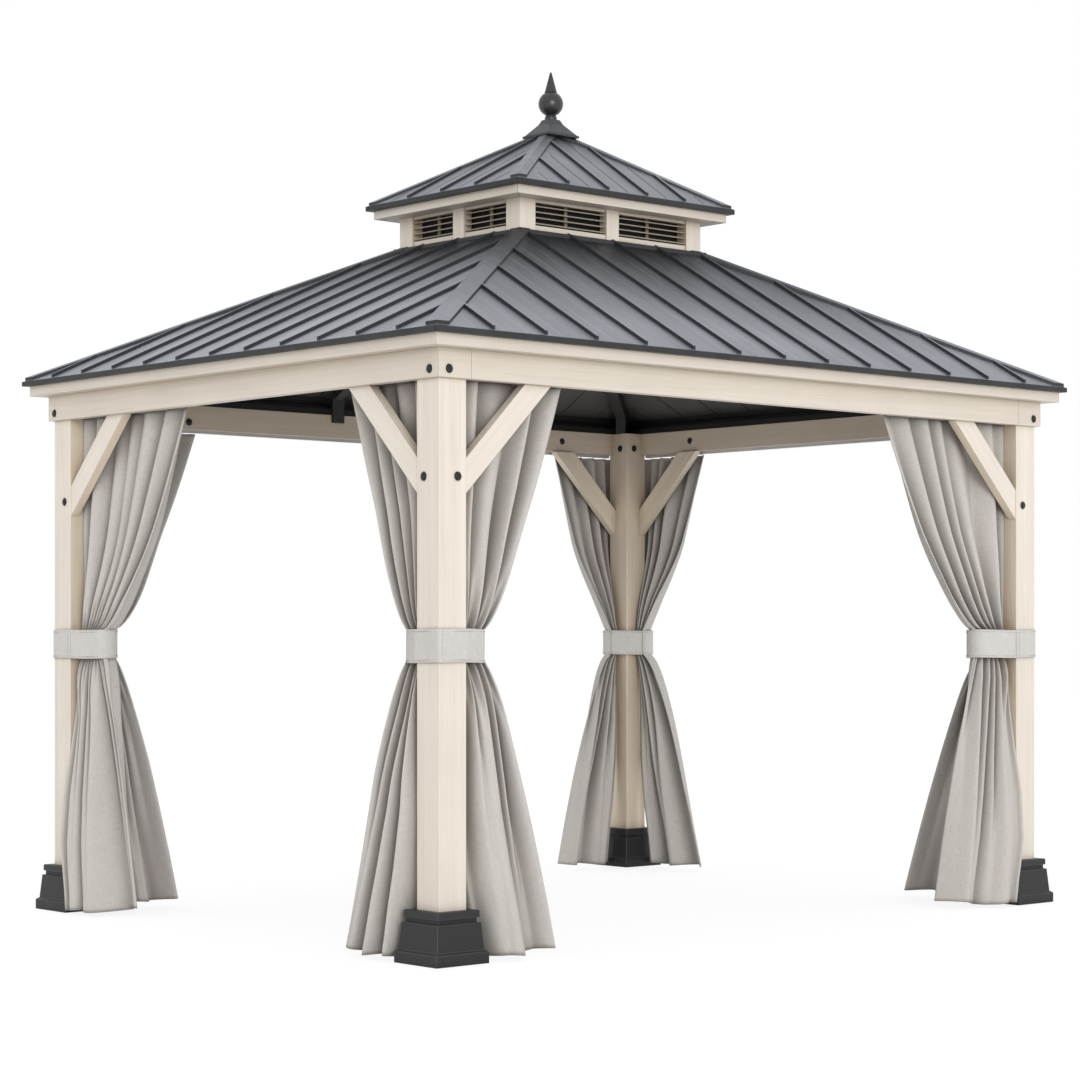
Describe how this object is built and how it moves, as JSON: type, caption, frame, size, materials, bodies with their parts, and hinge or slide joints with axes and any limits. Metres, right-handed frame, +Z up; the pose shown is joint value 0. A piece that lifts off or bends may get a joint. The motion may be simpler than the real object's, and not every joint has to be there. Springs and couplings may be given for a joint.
{
  "type": "hard-top metal gazebo",
  "caption": "Rectangular hard-top garden gazebo with cream posts, a two-tier standing-seam hip roof, louvred cupola, finial and tied-back curtains.",
  "frame": {"origin": "ground level at the middle of the post plan", "axes": "+X along the long side, +Y from the front long side to the back one, +Z up"},
  "size_m": [3.672, 2.872, 3.707],
  "materials": {
    "cream_frame": "cream powder coat printed with a faint wood grain, satin",
    "roof_metal": "charcoal standing-seam sheet, satin",
    "edge_trim": "dark charcoal folded edge trim, satin",
    "dark_frame": "near-black powder-coated tube and angle, matt",
    "plinth_dark": "dark grey moulded plinth, fine matt texture",
    "finial_dark": "dark grey satin paint",
    "curtain_fabric": "pale warm grey plain-weave polyester",
    "tie_fabric": "pale warm grey doubled polyester band with stitched edges",
    "rail_metal": "plain drawn curtain track, satin"
  },
  "bodies": {
    "root": {"back_beam": "cream_frame", "back_braces": "cream_frame", "back_curtain_left": "curtain_fabric", "back_curtain_right": "curtain_fabric", "back_eave_board": "cream_frame", "back_roof": "roof_metal", "back_upper_roof": "roof_metal", "beam_corner_blocks": "cream_frame", "cupola_curb": "dark_frame", "cupola_eave_boards": "cream_frame", "cupola_louvres": "cream_frame", "cupola_posts": "cream_frame", "cupola_rails": "cream_frame", "curtain_rails": "rail_metal", "finial": "finial_dark", "finial_base": "finial_dark", "front_beam": "cream_frame", "front_braces": "cream_frame", "front_curtain_left": "curtain_fabric", "front_curtain_right": "curtain_fabric", "front_eave_board": "cream_frame", "front_roof": "roof_metal", "front_upper_roof": "roof_metal", "hip_rafters": "dark_frame", "jack_rafters": "dark_frame", "left_beam": "cream_frame", "left_braces": "cream_frame", "left_curtain_back": "curtain_fabric", "left_curtain_front": "curtain_fabric", "left_eave_board": "cream_frame", "left_roof": "roof_metal", "left_upper_roof": "roof_metal", "plinth_back_left": "plinth_dark", "plinth_back_right": "plinth_dark", "plinth_front_left": "plinth_dark", "plinth_front_right": "plinth_dark", "post_back_left": "cream_frame", "post_back_right": "cream_frame", "post_front_left": "cream_frame", "post_front_right": "cream_frame", "right_beam": "cream_frame", "right_braces": "cream_frame", "right_curtain_back": "curtain_fabric", "right_curtain_front": "curtain_fabric", "right_eave_board": "cream_frame", "right_roof": "roof_metal", "right_upper_roof": "roof_metal", "roof_edge_trim": "edge_trim", "roof_hip_caps": "roof_metal", "roof_ledgers": "dark_frame", "tie_back_back_left": "tie_fabric", "tie_back_back_right": "tie_fabric", "tie_back_front_left": "tie_fabric", "tie_back_front_right": "tie_fabric", "upper_edge_trim": "edge_trim", "upper_hip_caps": "roof_metal"}
  },
  "joints": []
}
